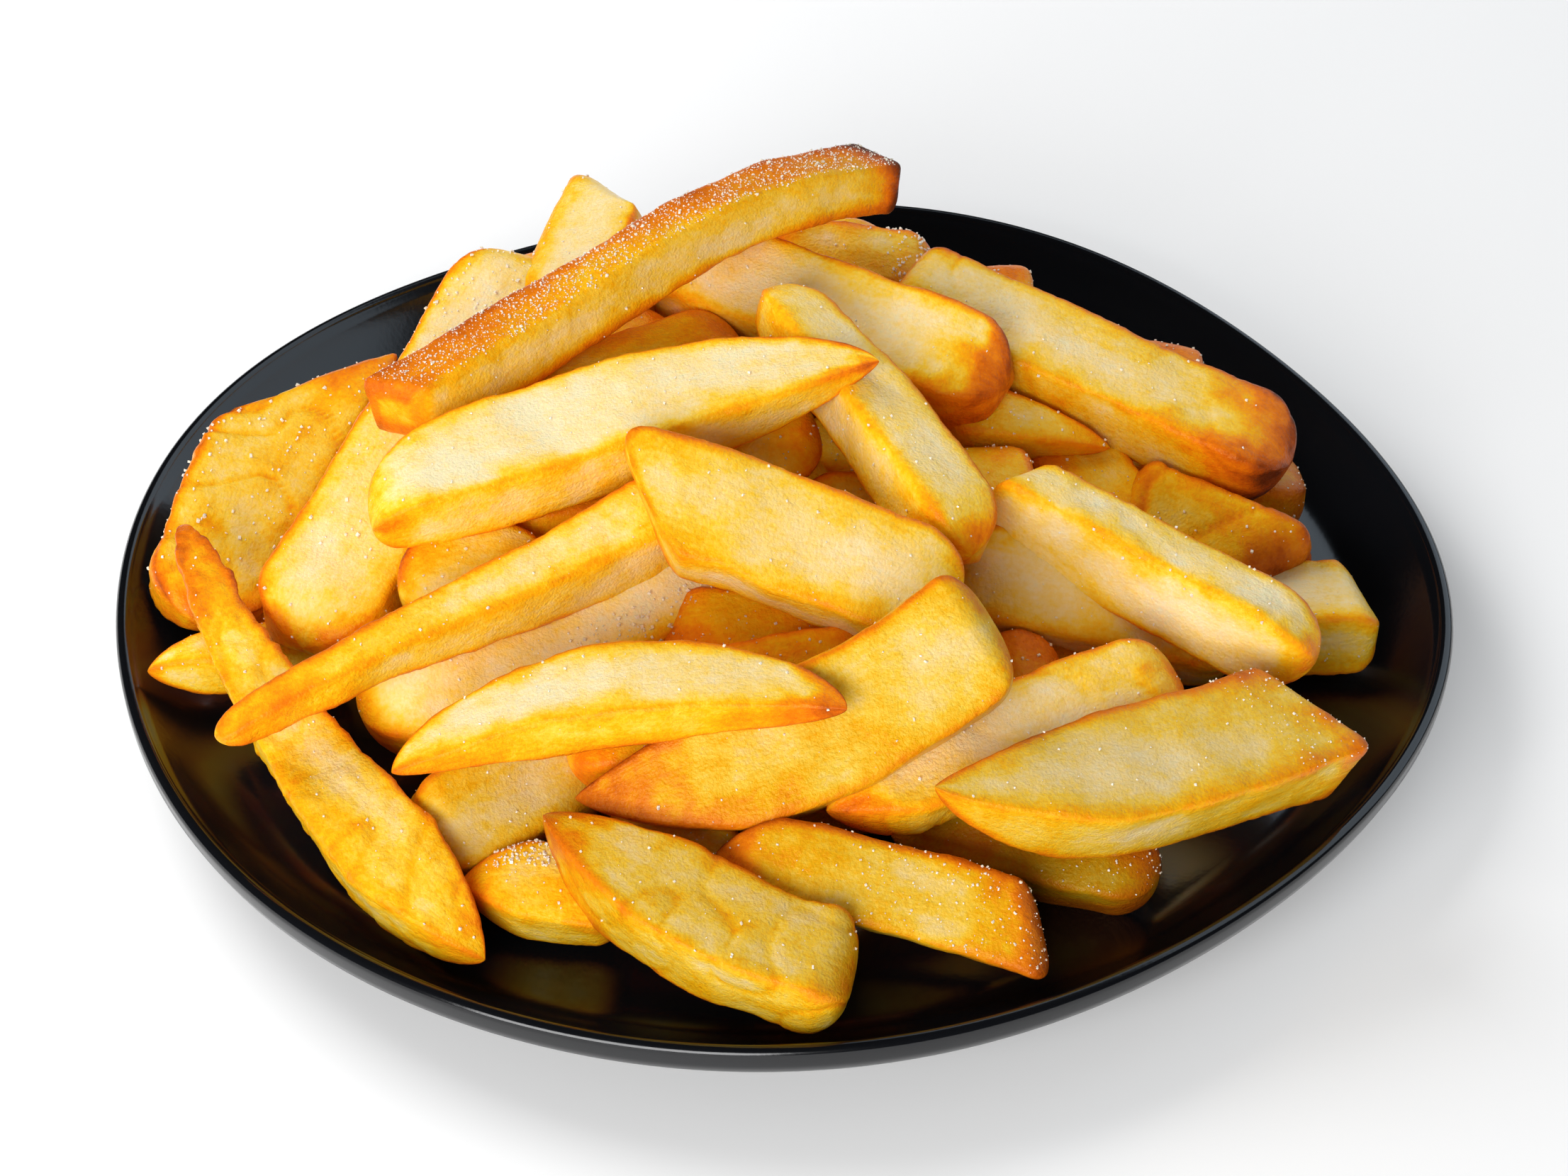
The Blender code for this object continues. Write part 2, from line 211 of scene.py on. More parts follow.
def fried_potato():
    """Fried crust, whose colour follows the tone stored at each point, with fibres, blotches, small
    blisters and a thin shine of oil. Light goes a little way into it."""
    material, shader, add, wire = new_material("fried_potato")
    place = add("ShaderNodeTexCoord").outputs["Object"]
    tone = add("ShaderNodeAttribute", attribute_name="tone").outputs["Fac"]
    lay = add("ShaderNodeAttribute", attribute_name="lay").outputs["Vector"]
    fibres = add("ShaderNodeTexNoise", {"Vector": lay, "Scale": 1.0, "Detail": 4.0}).outputs["Fac"]
    blotch = add("ShaderNodeTexNoise", {"Vector": place, "Scale": 190.0, "Detail": 3.0}).outputs["Fac"]
    mottle = add("ShaderNodeTexNoise", {"Vector": place, "Scale": 1100.0, "Detail": 3.0}).outputs["Fac"]
    streaked = add("ShaderNodeMath", {0: fibres, 1: 0.20, 2: -0.10}, operation="MULTIPLY_ADD").outputs[0]
    clouded = add("ShaderNodeMath", {0: blotch, 1: 0.34, 2: -0.17}, operation="MULTIPLY_ADD").outputs[0]
    grained = add("ShaderNodeMath", {0: mottle, 1: 0.34, 2: -0.17}, operation="MULTIPLY_ADD").outputs[0]
    varied = streaked
    for change in (clouded, grained):
        varied = add("ShaderNodeMath", {0: varied, 1: change}, operation="ADD").outputs[0]
    calm = add("ShaderNodeMath", {0: 1.25, 1: tone}, operation="SUBTRACT").outputs[0]  # brown varies less
    toned = add("ShaderNodeMath", {0: varied, 1: calm, 2: tone}, operation="MULTIPLY_ADD").outputs[0]
    ramp = add("ShaderNodeValToRGB", {"Fac": toned})
    stops = ramp.color_ramp.elements
    stops[0].position = POTATO_TONES[0][0]
    stops[0].color = (*POTATO_TONES[0][1], 1.0)
    stops[1].position = POTATO_TONES[-1][0]
    stops[1].color = (*POTATO_TONES[-1][1], 1.0)
    for position, colour in POTATO_TONES[1:-1]:
        stops.new(position).color = (*colour, 1.0)
    # Each point's colour is darkened by its stored share: partly a thick or cooled crust, partly painted
    # shade.
    dull_and_shade = add("ShaderNodeAttribute", attribute_name="dull_and_shade").outputs["Fac"]
    kept = add("ShaderNodeMath", {0: 1.0, 1: dull_and_shade}, operation="SUBTRACT").outputs[0]
    shaded = add("ShaderNodeVectorMath", {0: ramp.outputs["Color"], "Scale": kept}, operation="SCALE")
    crust = shaded.outputs[0]
    blister = add("ShaderNodeTexNoise", {"Vector": place, "Scale": 520.0, "Detail": 2.0}).outputs["Fac"]
    crisp = add("ShaderNodeTexNoise", {"Vector": place, "Scale": 2000.0, "Detail": 2.0}).outputs["Fac"]
    large = add("ShaderNodeBump", {"Height": blister, "Strength": 0.35, "Distance": 0.0006})
    middle = add("ShaderNodeBump", {"Height": fibres, "Strength": 0.25, "Distance": 0.0004,
                                    "Normal": large.outputs["Normal"]})
    small = add("ShaderNodeBump", {"Height": crisp, "Strength": 0.8, "Distance": 0.00025,
                                   "Normal": middle.outputs["Normal"]})
    wire(crust, "Base Color")
    wire(small.outputs["Normal"], "Normal")
    shader.inputs["Roughness"].default_value = 0.3
    shader.inputs["Specular IOR Level"].default_value = 0.22
    shader.inputs["Specular Tint"].default_value = (1.0, 0.8, 0.4, 1.0)
    shader.inputs["Subsurface Weight"].default_value = 0.25
    shader.inputs["Subsurface Radius"].default_value = (1.0, 0.6, 0.2)
    shader.inputs["Subsurface Scale"].default_value = 0.0018
    return material


POTATO = fried_potato()


def tip(kind, reach=0, slant=0, hold=(0, 0), tone=0.2, browned=6.5):
    """How a stick ends: the shape it narrows in and how far back that reaches, how far from square it
    is cut, the corner it narrows towards, how much browner it is and how far back that goes."""
    return kind, reach, slant, hold, tone, browned


def taper(distance, reach, power):
    """1 beyond the reach of an end, falling to 0 at the end itself."""
    share = np.clip(distance / reach, 0, 1)
    return (1 - (1 - share) ** power) ** (1 / power)


def ripple(places, scale, seed):
    """Smooth noise from -1 to 1 at each place, with lumps about as wide as scale."""
    shift = Vector((seed * 3.7, seed * 1.9, seed * 5.3))
    return np.array([noise.noise(Vector(row) + shift) for row in (places / scale).tolist()])


def spread(rows, passes):
    """Evens out the values round each ring."""
    for _ in range(passes):
        rows = 0.25 * np.roll(rows, 1, 1) + 0.5 * rows + 0.25 * np.roll(rows, -1, 1)
    return rows


def stick_line(start, end, share, roll, side, arch, sway):
    """The middle of a bent stick at each station, and which ways run on, up and across there."""
    length = np.linalg.norm(end - start)
    heading = (end - start) / length
    level = np.cross((0, 0, 1), heading)
    level /= np.linalg.norm(level)
    lift = np.cross(heading, level)
    up = lift * math.cos(math.radians(roll)) + level * math.sin(math.radians(roll))
    across = np.cross(up, heading)
    bow = 4 * share * (1 - share)
    middle = start + np.outer(share * length, heading) + np.outer(bow * side, across)
    middle += np.outer(bow * arch, up)
    middle += np.outer(sway * np.sin(math.tau * share), up)
    run = np.gradient(middle, axis=0)
    run /= np.linalg.norm(run, axis=1, keepdims=True)
    up = np.tile(up, (len(share), 1))
    up -= (up * run).sum(1, keepdims=True) * run
    up /= np.linalg.norm(up, axis=1, keepdims=True)
    return middle, run, up, np.cross(up, run)


def stick_outline(far, grown, width, thickness, base, waver, quarter, faces, edges, seed):
    """The four-sided outline at each station, and for each of its points the tone of its face, how far
    it is from an edge, and the tone which that edge adds. Each corner wanders a little on its own."""
    stations, around = len(far), quarter * 4
    flat = np.zeros(stations)
    corners = []
    for index, corner in enumerate(((1, 1), (-1, 1), (-base, -1), (base, -1))):
        path = np.stack([far, flat + index * 40.0, flat], 1)
        wide = corner[0] * width / 2 * grown + waver * ripple(path, WANDER[0], seed)
        high = corner[1] * thickness / 2 * grown + waver * ripple(path, WANDER[1], seed + 50)
        wide += NOTCH_DEPTH * waver * ripple(path, NOTCH[0], seed + 20)
        high += NOTCH_DEPTH * waver * ripple(path, NOTCH[1], seed + 70)
        corners.append(np.stack([wide, high], 1))
    outline = np.zeros((stations, around, 2))
    face_tone = np.zeros((stations, around))
    from_edge = np.zeros((stations, around))
    edge_tone = np.zeros((stations, around))
    for index in range(4):
        here, there = corners[index], corners[(index + 1) % 4]
        along = there - here
        span = np.linalg.norm(along, axis=1)
        inward = np.stack([-along[:, 1], along[:, 0]], 1) / span[:, None]
        for step in range(quarter):
            part = step / quarter
            at = index * quarter + step
            outline[:, at] = here + along * part - inward * PUFF * 4 * part * (1 - part)
            face_tone[:, at] = faces[index]
            from_edge[:, at] = min(part, 1 - part) * span
            edge_tone[:, at] = edges[index if part < 0.5 else (index + 1) % 4]
    return spread(outline, 3), spread(face_tone, 4), from_edge, edge_tone


def stick_ends(tips, far, width, thickness):
    """For each station, how much of the width and of the thickness the ends leave, how far they pull
    it towards a corner and slant it, how much they brown it, and how much of it isn't end at all."""
    stations, length = len(far), far[-1]
    wide, high, body = np.ones(stations), np.ones(stations), np.ones(stations)
    slope, browned = np.zeros(stations), np.zeros(stations)
    pull = np.zeros((stations, 2))
    for (kind, reach, slant, hold, tone, stain), distance in zip(tips, (far, length - far)):
        reach = reach or END_REACH[kind] * width
        wide_power, own, of_thickness, high_power = END_SHAPES[kind]
        narrowed = taper(distance, reach, wide_power)
        thinned = taper(distance, own * reach + of_thickness * thickness, high_power)
        wide = np.minimum(wide, narrowed)
        high = np.minimum(high, thinned)
        if not own:
            body = np.minimum(body, np.clip((np.minimum(narrowed, thinned) - 0.3) / 0.5, 0, 1))
        pull[:, 0] += hold[0] * width / 2 * (1 - narrowed)
        pull[:, 1] += hold[1] * thickness / 2 * (1 - thinned)
        slope += math.tan(math.radians(slant)) * np.clip(1 - distance / length / SLANT_REACH, 0, 1)
        browned = np.maximum(browned, tone * np.exp(-(distance / stain) ** 1.5))
    return wide, high, pull, slope, browned, body


def outward_ways(points, middle):
    """The direction straight out of the skin at each of its points."""
    ring_way = np.roll(points, -1, 1) - np.roll(points, 1, 1)
    long_way = np.gradient(points, axis=0)
    outward = np.cross(ring_way, long_way)
    outward /= np.maximum(np.linalg.norm(outward, axis=2, keepdims=True), 1e-9)
    half = len(middle) // 2
    if (outward[half] * (points[half] - middle[half])).sum() < 0:
        outward = -outward
    return outward


def stick_skin(rows, around):
    """The faces over the rings of points, closed at each end by a fan round one last point."""
    skin = []
    for row in range(rows - 1):
        for step in range(around):
            after = (step + 1) % around
            low_row, high_row = row * around, (row + 1) * around
            skin.append((low_row + step, low_row + after, high_row + after, high_row + step))
    first, last = rows * around, rows * around + 1
    for step in range(around):
        after = (step + 1) % around
        skin.append((first, after, step))
        skin.append((last, (rows - 1) * around + step, (rows - 1) * around + after))
    return skin


def with_ends(values):
    """The values of all inner rings in one run, then the mean of each end ring."""
    inner = values[1:-1].reshape(-1, *values.shape[2:])
    return np.concatenate([inner, values[0].mean(0)[None], values[-1].mean(0)[None]])


def paint(piece, tone, dull_and_shade, fibres):
    """Stores the three values that the potato material reads at each point."""
    points = piece.data.attributes
    points.new("tone", "FLOAT", "POINT").data.foreach_set("value", tone)
    points.new("dull_and_shade", "FLOAT", "POINT").data.foreach_set("value", np.full(len(tone), dull_and_shade))
    points.new("lay", "FLOAT_VECTOR", "POINT").data.foreach_set("vector", fibres.ravel())


# The default face tones make the top palest and the underside darkest: partly the crust's own browning,
# partly painted light and shade.
def fry(name, start, end, width, thickness, roll=0, side=0, arch=0, sway=0,
        tips=(tip("round"), tip("round")), base=1.0, flare=(1, 1), waver=0.8, lumps=0.4, blisters=0.12,
        faces=(0.2, 0.33, 0.5, 0.4), edges=(0.28, 0.07, 0.28, 0.28), rim=1.0, band=3.4, dull_and_shade=0.0,
        creases=0.0, grain=GRAIN):
    """A stick of potato from start to end. side and arch bow it, sway bends it into an S, flare scales
    its two ends and base makes the underside narrower. faces are the tones of its top, near, lower and
    far face, and edges what the top's far and near edge and the underside's near and far edge add over
    a line of width rim. band is how far gold reaches in from an edge. dull is the share by which its
    colour is darkened, partly for a thick or cooled crust and partly as painted shade where the heap
    gets less light, and creases the depth of its wrinkles."""
    seed = len(fries) + 1
    start, end = np.array(start, float), np.array(end, float)
    length = np.linalg.norm(end - start)
    stations = max(24, int(length * 1.25 / grain))
    quarter = max(4, int((width + thickness) / 2 / grain))
    around = quarter * 4
    share = 0.5 - 0.5 * np.cos(np.pi * np.linspace(0, 1, stations))
    far = share * length
    grown = flare[0] + (flare[1] - flare[0]) * share
    middle, run, up, across = stick_line(start, end, share, roll, side, arch, sway)
    outline, face_tone, from_edge, edge_tone = stick_outline(
        far, grown, width, thickness, base, waver, quarter, faces, edges, seed)
    wide, high, pull, slope, browned, body = stick_ends(tips, far, width, thickness)
    sideways = outline[..., 0] * wide[:, None] + pull[:, :1]
    upwards = outline[..., 1] * high[:, None] + pull[:, 1:]
    forwards = slope[:, None] * outline[..., 0] * wide[:, None]
    points = middle[:, None] + across[:, None] * sideways[..., None] + up[:, None] * upwards[..., None]
    points += run[:, None] * forwards[..., None]

    # The crust swells in low lumps and blisters, and dents where it wrinkled.
    outward = outward_ways(points, middle)
    places = points.reshape(-1, 3)
    lump = ripple(places, LUMP_SIZE, seed).reshape(stations, around)
    blister = ripple(places, BLISTER_SIZE, seed).reshape(stations, around)
    speck = ripple(places, SPECK_SIZE, seed).reshape(stations, around)
    folds = np.clip(1 - 8 * np.abs(ripple(places, FOLD_SIZE, seed + 90)), 0, 1)
    wrinkle = folds.reshape(stations, around) ** 2
    from_edge = from_edge * (0.35 + 0.65 * wide[:, None])
    body = body[:, None]
    crisped = np.exp(-(from_edge / CRISP_WIDTH) ** 2) * body
    swell = lumps * lump + blisters * (1.6 * np.clip(blister, 0, 1) + 0.5 * speck)
    swell += 0.12 * crisped * speck
    swell -= creases * wrinkle
    points += outward * (swell * np.minimum(wide, high)[:, None])[..., None]

    # Its tone: cloudy faces, gold beside the edges, a line along each edge, and browned ends.
    streaks = np.dstack([np.repeat(far[:, None] / STREAK_LENGTH, around, 1), outline])
    cloud = ripple(streaks.reshape(-1, 3), CLOUD_SIZE, seed + 30).reshape(stations, around)
    tone = face_tone * body + END_TONE * (1 - body) + 0.20 * cloud + 0.07 * lump + 0.05 * blister
    tone += 0.4 * body * (1 - body)
    beside = np.exp(-((from_edge / (band * (1 + 0.7 * lump + 0.5 * blister))) ** 2))
    tone += beside * body * np.maximum(GOLDEN - tone, 0) * 0.9
    tone += edge_tone * body * np.exp(-((from_edge / rim) ** 2)) * (1 + 0.5 * lump + 0.3 * blister)
    tone += browned[:, None] * (1 + 0.35 * blister + 0.3 * lump) + 0.3 * creases * wrinkle
    tone = np.where(tone > DARK, DARK + (tone - DARK) * 0.45, tone)

    piece = new_piece(name, with_ends(points), stick_skin(stations - 2, around), POTATO)
    fibres = np.dstack([np.repeat(far[:, None] / FIBRE_LENGTH, around, 1), outline])
    paint(piece, with_ends(tone), dull_and_shade, with_ends(fibres) + seed * 31.0)
    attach(piece, "root")
    piece["around"] = around
    fries[name] = piece


INSIDE = (
    ((-74, 10, 16), (-30, 58, 16), 16, 13), ((-62, 76, 17), (8, 86, 16), 16, 13),
    ((-22, 62, 16), (46, 52, 16), 17, 13), ((20, 36, 16), (78, 30, 16), 16, 13),
    ((-92, 22, 15), (-66, 56, 15), 14, 12), ((-84, -8, 16), (-38, -34, 16), 16, 13),
    ((-36, -26, 16), (28, -22, 16), 17, 14), ((-56, 6, 16), (6, 12, 16), 16, 13),
    ((28, 6, 16), (74, -4, 16), 16, 13), ((-38, -48, 16), (14, -44, 16), 16, 14),
    ((24, -52, 16), (70, -38, 16), 15, 13), ((-62, -14, 29), (-14, 26, 29), 17, 12),
    ((-50, 42, 30), (16, 56, 30), 17, 14), ((10, 74, 29), (62, 36, 29), 16, 13),
    ((-64, 52, 30), (-38, 72, 31), 16, 13), ((-52, 12, 43), (-8, 34, 44), 15, 11),
    ((-46, 46, 39), (-12, 64, 39), 14, 11), ((-24, 76, 30), (22, 84, 28), 15, 12),
    ((-50, -8, 37), (-10, 0, 37), 14, 10), ((-30, -6, 29), (10, -12, 29), 15, 12),
    ((40, 58, 15), (76, 46, 15), 16, 13), ((4, 40, 30), (34, 44, 30), 14, 12),
)
for number, (start, end, width, thickness) in enumerate(INSIDE):
    fry(f"fry_inside_{number:02d}", start, end, width, thickness, grain=INSIDE_GRAIN,
        faces=(0.5, 0.55, 0.6, 0.55))

CORE_RADII = (72.0, 55.0)
CORE_MIDDLE = -6.0  # a little in front of the plate's middle
CORE_TOP = 31.0
CORE_CURVE = 2.3
# The mound's brown tone and its darkening paint the shade deep in the heap, where it shows through gaps.
CORE_TONE = 0.68
CORE_DULL_AND_SHADE = 0.4


def make_core():
    """A low lumpy mound that closes the middle of the heap."""
    rings, steps = 26, 96
    verts = []
    foot = WELL_HEIGHT + 0.4
    for ring in range(1, rings + 1):
        share = math.sin(math.pi / 2 * ring / rings)
        height = foot + (CORE_TOP - foot) * (1 - share**CORE_CURVE) ** (1 / CORE_CURVE)
        for step in range(steps):
            angle = math.tau * step / steps
            x = CORE_RADII[0] * share * math.cos(angle)
            y = CORE_RADII[1] * share * math.sin(angle) + CORE_MIDDLE
            verts.append((x, y, height))
    verts = np.array(verts)
    lumps = ripple(verts, 11.0, 3) * 2.2 + ripple(verts, 4.0, 4) * 0.8
    verts[:, 2] = np.maximum(foot, verts[:, 2] + lumps)
    faces = []
    for ring in range(rings - 1):
        for step in range(steps):
            after = (step + 1) % steps
            low, high = ring * steps, (ring + 1) * steps
            faces.append((low + step, high + step, high + after, low + after))
    faces.append(tuple(range(steps)))
    faces.append(tuple(range(rings * steps - 1, (rings - 1) * steps - 1, -1)))
    core = new_piece("fries_core", verts, faces, POTATO)
    paint(core, CORE_TONE + 0.15 * ripple(verts, 6.0, 5), CORE_DULL_AND_SHADE, verts)
    return core


core = make_core()
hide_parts("fries_heap")
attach(core, "root")

# ---------------------------------------------------------------- lowest fries
# Thick-cut sticks of the same fried potato that slid down first. They lie flat, or nearly so, on the
# plate's well, with their other ends under the heap.
fry("fry_front_short", (-53, -81, 18), (-26, -85, 17), 15, 12, roll=-15, base=0.7,
    tips=(tip("point", 12, tone=0.3), tip("blunt")), faces=(0.42, 0.5, 0.5, 0.5), dull_and_shade=0.08)
fry("fry_right_low", (18, -62, 17), (62, -77, 16), 15, 13, roll=-30, faces=(0.56, 0.66, 0.6, 0.5),
    dull_and_shade=0.55)
fry("fry_left_stub", (-111, -28, 18), (-77, -19, 17), 9, 8, tips=(tip("point", 12), tip("round")),
    faces=(0.22, 0.34, 0.5, 0.4))
fry("fry_front_left_low", (-59, -73, 20), (-29, -53, 24), 18, 14, roll=-30, faces=(0.3, 0.42, 0.5, 0.5),
    dull_and_shade=0.28, tips=(tip("blunt", tone=0.05), tip("round")), band=4)
fry("fry_right_stub", (75, -14, 18), (104, -13, 18), 17, 14,
    tips=(tip("round"), tip("blunt", 0, -15, tone=0.12)), faces=(0.16, 0.36, 0.5, 0.36), lumps=0.5)
fry("fry_right_far_low", (78, 19, 20), (96, 21, 20), 15, 13, faces=(0.5, 0.56, 0.6, 0.6), dull_and_shade=0.25)
fry("fry_left_blistered", (-103, -14, 16), (-88, 42, 27), 24, 11, roll=-12, side=2, blisters=0.32,
    lumps=0.6, tips=(tip("round"), tip("blunt", 6, -57, tone=0.42, browned=5)),
    faces=(0.4, 0.5, 0.5, 0.55), creases=0.6, dull_and_shade=0.1)
fry("fry_back_right_stub", (69, 42, 22), (75, 58, 24), 14, 10, faces=(0.6, 0.6, 0.6, 0.6))
fry("fry_front_under", (-30, -69, 18), (-5, -81, 18), 13, 12, roll=-20, faces=(0.3, 0.4, 0.5, 0.5),
    dull_and_shade=0.12)

# ---------------------------------------------------------------- fries round the edge
# Longer sticks of fried potato that came down on the lowest ones, most with one end near the plate
# and the other up on a neighbour. The broad ones in front are wedges off the side of a potato.
fry("fry_left_front", (-106, -6, 33), (-48, -96, 16), 18, 14, roll=-8, side=-6, arch=2, base=0.8,
    tips=(tip("round", 12, tone=0.34, browned=20), tip("point", 24)), flare=(0.3, 1.18), blisters=0.4,
    lumps=0.5, faces=(0.4, 0.46, 0.5, 0.5), dull_and_shade=0.05, creases=0.3)
fry("fry_front", (-39, -77, 30), (11, -105, 19.5), 19, 15, roll=-3, side=-5, base=0.7,
    tips=(tip("point", 26, tone=0.36, browned=16), tip("blunt", tone=0.08)), faces=(0.31, 0.36, 0.4, 0.5),
    lumps=0.5, dull_and_shade=0.24, creases=0.45)
fry("fry_front_right", (-11, -82, 26), (42, -93, 18), 15, 12, roll=-35, side=1, base=0.8,
    tips=(tip("point", 10, tone=0.4, browned=10), tip("blunt", 0, -30, tone=0.4, browned=9)),
    faces=(0.34, 0.45, 0.5, 0.5), dull_and_shade=0.24)
fry("fry_right_front", (23, -82, 35), (88, -55, 28), 21, 14, roll=-10, side=-3, base=0.7, flare=(1, 1.15),
    tips=(tip("point", 30, hold=(0, 1), tone=0.08), tip("cut", 0, -20, tone=0.26, browned=9)),
    faces=(0.27, 0.34, 0.6, 0.5), dull_and_shade=0.2, edges=(0.3, 0.08, 0.25, 0.25), rim=1.8, band=5)
fry("fry_right_front_behind", (7, -76, 30), (66, -46, 33), 16, 10, roll=-20,
    tips=(tip("point", 14, tone=0.28), tip("round")), faces=(0.28, 0.45, 0.5, 0.5), creases=0.35, dull_and_shade=0.05)
fry("fry_right_under", (28, -20, 34), (81, -24, 22), 18, 12, roll=-30, faces=(0.22, 0.26, 0.4, 0.6),
    dull_and_shade=0.12, creases=0.3)
fry("fry_right_tan", (60, 8, 24), (88, -9, 22), 19, 18, roll=-25, faces=(0.5, 0.6, 0.6, 0.6),
    tips=(tip("blunt"), tip("blunt", 5, 28, tone=0.3)), dull_and_shade=0.2, creases=0.6)
fry("fry_back_stub", (43, 54, 30), (42, 73, 32), 11, 9, faces=(0.6, 0.6, 0.6, 0.6))
fry("fry_right_tan_inner", (49, 24, 27), (64, -4, 25), 16, 12, faces=(0.55, 0.6, 0.6, 0.6))

# ---------------------------------------------------------------- fries in the middle
# The third layer of fried potato sticks, which leans inwards over the lower ones. Short pieces lie
# deep in the gaps between its sticks, their browner tone partly the crust and partly painted shade.
fry("fry_middle_low_left", (-72, -45, 23), (-8, -17, 34), 20, 14, roll=-30, faces=(0.26, 0.46, 0.5, 0.5))
fry("fry_lens_front", (-63, -67, 34), (11, -66, 47), 15.5, 9, roll=-5, side=3, arch=4,
    tips=(tip("lens", 34, hold=(-1, 1), tone=0.2), tip("lens", 34, hold=(-1, 1), tone=0.4, browned=9)),
    faces=(0.17, 0.5, 0.5, 0.4), dull_and_shade=0.08)
fry("fry_long_left", (-93, -65, 36), (-13, -14, 46), 12, 13, roll=-10, sway=1.5, flare=(0.38, 1.12),
    tips=(tip("round", 5, tone=0.16, browned=22), tip("round")), faces=(0.24, 0.34, 0.5, 0.4))
fry("fry_middle_wide", (-34, -73, 30), (34, -55, 53), 22, 12, roll=-42, side=-6,
    tips=(tip("point", 30, tone=0.42, browned=22), tip("blunt", 0, 10, tone=0.08)),
    faces=(0.38, 0.46, 0.5, 0.5), dull_and_shade=0.2)
fry("fry_left_wide", (-83, -31, 26), (-50, 58, 46), 23, 12, roll=-2, side=-1, flare=(1.04, 0.8),
    tips=(tip("round", 11), tip("round", 14, tone=0.05)), faces=(0.26, 0.42, 0.5, 0.5))
fry("fry_right_upper", (38, -10, 43), (90, -42, 32.5), 11, 15.5, roll=4, blisters=0.25,
    faces=(0.14, 0.22, 0.5, 0.5), tips=(tip("blunt", 6, 20, tone=0.15), tip("round", 10)))
fry("fry_back_thin", (29, 21, 38), (59, 15, 34), 12, 9, roll=-20, tips=(tip("round"), tip("point", 26)),
    faces=(0.32, 0.45, 0.5, 0.5))
fry("fry_back_upper", (-3, 59, 44), (29, 64, 38), 14, 10, roll=-20, faces=(0.45, 0.5, 0.5, 0.5))
# The gap pieces' browner tones partly paint the shade of the gaps.
fry("fry_gap_orange", (-16, 0, 41), (6, 9, 43), 16, 12, roll=-45, faces=(0.44, 0.48, 0.5, 0.5),
    blisters=0.3)
fry("fry_gap_brown", (6, 27, 30), (21, 4, 30), 15, 12, roll=-10, faces=(0.5, 0.55, 0.6, 0.6))
fry("fry_gap_pale", (2, -4, 34), (28, -7, 33), 14, 10, roll=-20, faces=(0.36, 0.5, 0.5, 0.5))
fry("fry_gap_right", (36, 13, 34), (39, -16, 33), 14, 12, faces=(0.5, 0.56, 0.5, 0.5))
fry("fry_gap_salted", (-21, -31, 30), (11, -37, 30), 14, 12, roll=-20, faces=(0.6, 0.64, 0.6, 0.6))
fry("fry_gap_thin", (-13, -47, 34), (14, -43, 36), 8, 7, roll=-20, faces=(0.48, 0.52, 0.5, 0.5))
fry("fry_gap_front", (-36, -62, 30), (-12, -58, 31), 13, 12, roll=-20, faces=(0.56, 0.58, 0.6, 0.6))
fry("fry_gap_front_right", (32, -37, 24), (48, -37, 24), 14, 12, roll=-20, faces=(0.66, 0.6, 0.6, 0.6))
fry("fry_gap_back", (-40, 22, 40), (-20, 42, 40), 12, 10, roll=-20, faces=(0.5, 0.55, 0.6, 0.6))
fry("fry_gap_left", (-66, -28, 36), (-40, -21, 36), 16, 10, roll=-20, faces=(0.36, 0.5, 0.6, 0.6))

# ---------------------------------------------------------------- fries on top
# The last sticks of fried potato to fall, which lie across the heap and crown it. Their top faces
# are pale, partly from the crust and partly painted light, and their edges and tips browned where the oil
# was hottest.
fry("fry_top_wide", (-25, -23, 54), (29, -40, 42), 21, 11, roll=-25, side=1,
    tips=(tip("blunt", 0, -38, hold=(0, 1), tone=0.12), tip("round", hold=(0, 1))),
    faces=(0.3, 0.3, 0.5, 0.5), waver=0.9, dull_and_shade=0.07)
fry("fry_top_lens", (-72, -19, 47), (13, 14, 57), 22, 12.5, roll=-5, base=0.85,
    tips=(tip("round", 22, hold=(-0.5, 0), tone=0.08), tip("lens", 44, hold=(-1, 1), tone=0.5, browned=7)),
    faces=(0.14, 0.28, 0.5, 0.4))
fry("fry_top_long", (-68, 3, 51), (18, 65, 59), 11.5, 12, roll=5, arch=6, sway=-2,
    tips=(tip("cut", 0, -30, tone=0.12), tip("cut", 0, -18, tone=0.85, browned=4.5)),
    faces=(0.68, 0.35, 0.5, 0.7), edges=(0.2, 0.0, 0.26, 0.26), rim=2.2, flare=(1, 0.9), dull_and_shade=0.13)
fry("fry_top_slim", (-3, 31, 57), (32, -29, 45), 14, 13, roll=10, side=2,
    tips=(tip("round", 12, tone=0.1), tip("round", 12)), faces=(0.2, 0.33, 0.5, 0.4), flare=(0.82, 1.08))
fry("fry_top_back", (-24, 57, 46), (40, 18, 45), 19, 15, roll=-20,
    tips=(tip("round"), tip("round", tone=0.45, browned=10)), faces=(0.22, 0.42, 0.5, 0.5))
fry("fry_top_right", (21, 47, 46), (91, 10, 34), 18.5, 13, roll=-9, lumps=0.5,
    tips=(tip("blunt"), tip("round", 9, tone=0.75, browned=11)), faces=(0.26, 0.36, 0.5, 0.5), dull_and_shade=0.1,
    creases=0.3)
fry("fry_top_stub", (-31, 74, 47), (-40, 38, 45), 19, 12, roll=-20, faces=(0.22, 0.42, 0.5, 0.4),
    tips=(tip("blunt", 0, 45, tone=0.05), tip("round")))

# ---------------------------------------------------------------- salt
# Coarse salt thrown on while the fries were hot. It stuck where the crust was oily, most of all along
# the top of the long fry, on a few corners and along edges.
# The salt's warm tint is painted warm light for grains that lie in shade.
SALT_COLOUR = (0.90, 0.82, 0.66)
SALT_UNEVENNESS = 0.14  # how far a grain's corners stray, as a share of its size
SALT_STRAY = 0.25
SALT_STAND = 0.3  # share of its size that a grain's middle stands out of the crust


